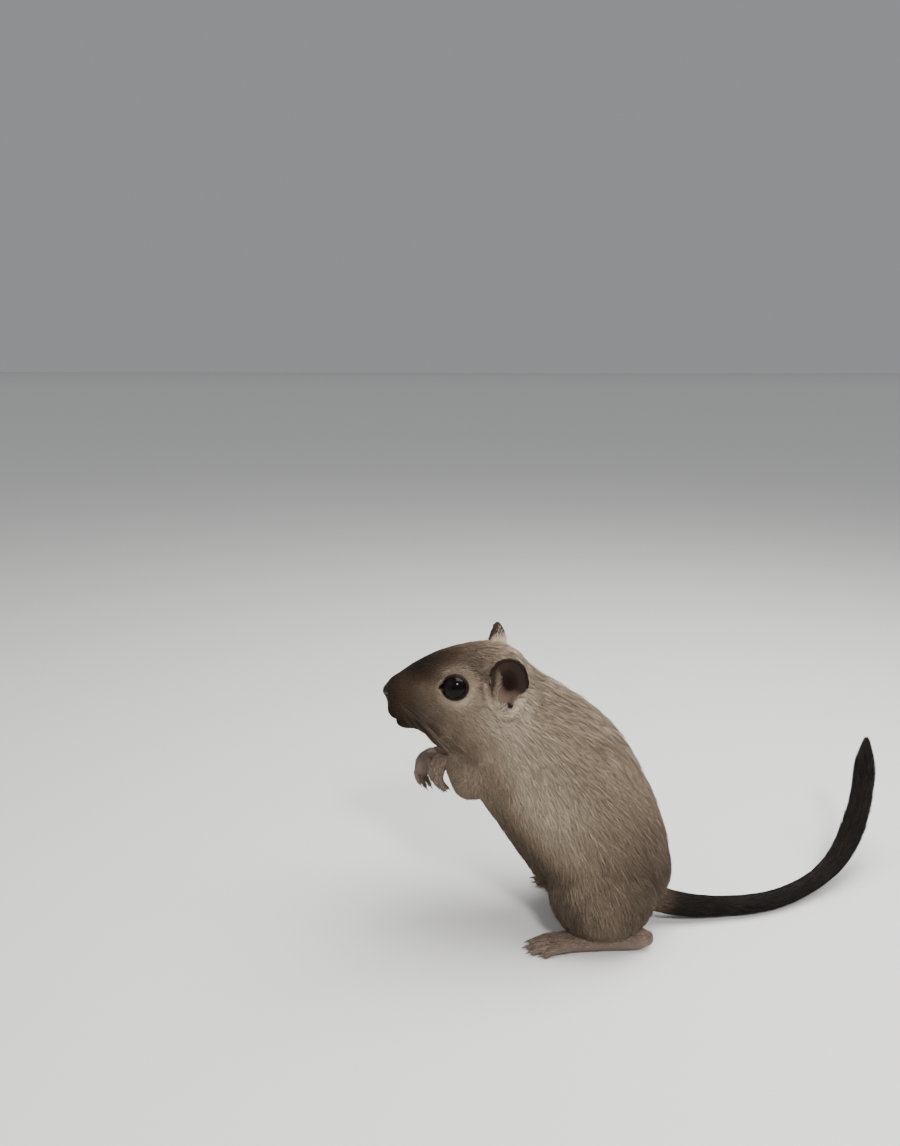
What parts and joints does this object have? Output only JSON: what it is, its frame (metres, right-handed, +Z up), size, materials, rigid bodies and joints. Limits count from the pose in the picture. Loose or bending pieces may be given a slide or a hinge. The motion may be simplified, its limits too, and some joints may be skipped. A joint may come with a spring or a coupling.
{
  "type": "gerbil",
  "caption": "Mongolian gerbil reared up on its haunches, beige coat with a dark muzzle and ear rims, black tail curling up, forepaws folded at its chest, life size.",
  "frame": {"origin": "middle of the underside of the box round the whole animal, on the floor", "axes": "+X towards the tail, the head faces -X, +Y towards the animal's right side, +Z up"},
  "size_m": [0.1448, 0.0756, 0.0797],
  "materials": {
    "coat_beige": "matte beige fur",
    "coat_dark": "matte black-brown fur",
    "ear_skin": "thin brown-pink skin with fine short hair",
    "paw_skin": "pink-beige skin with fine short hair",
    "eye_black": "wet glossy black"
  },
  "bodies": {
    "root": {"head": "coat_beige", "neck": "coat_beige", "torso": "coat_beige", "thigh_left": "coat_beige", "thigh_right": "coat_beige", "foreleg_left": "coat_beige", "foreleg_right": "coat_beige", "forepaw_left": "paw_skin", "forepaw_right": "paw_skin", "hind_foot_left": "paw_skin", "hind_foot_right": "paw_skin", "ear_left": "ear_skin", "ear_right": "ear_skin", "eye_left": "eye_black", "eye_right": "eye_black", "tail_base": "coat_dark", "tail_mid": "coat_dark", "tail_brush": "coat_dark"}
  },
  "joints": []
}
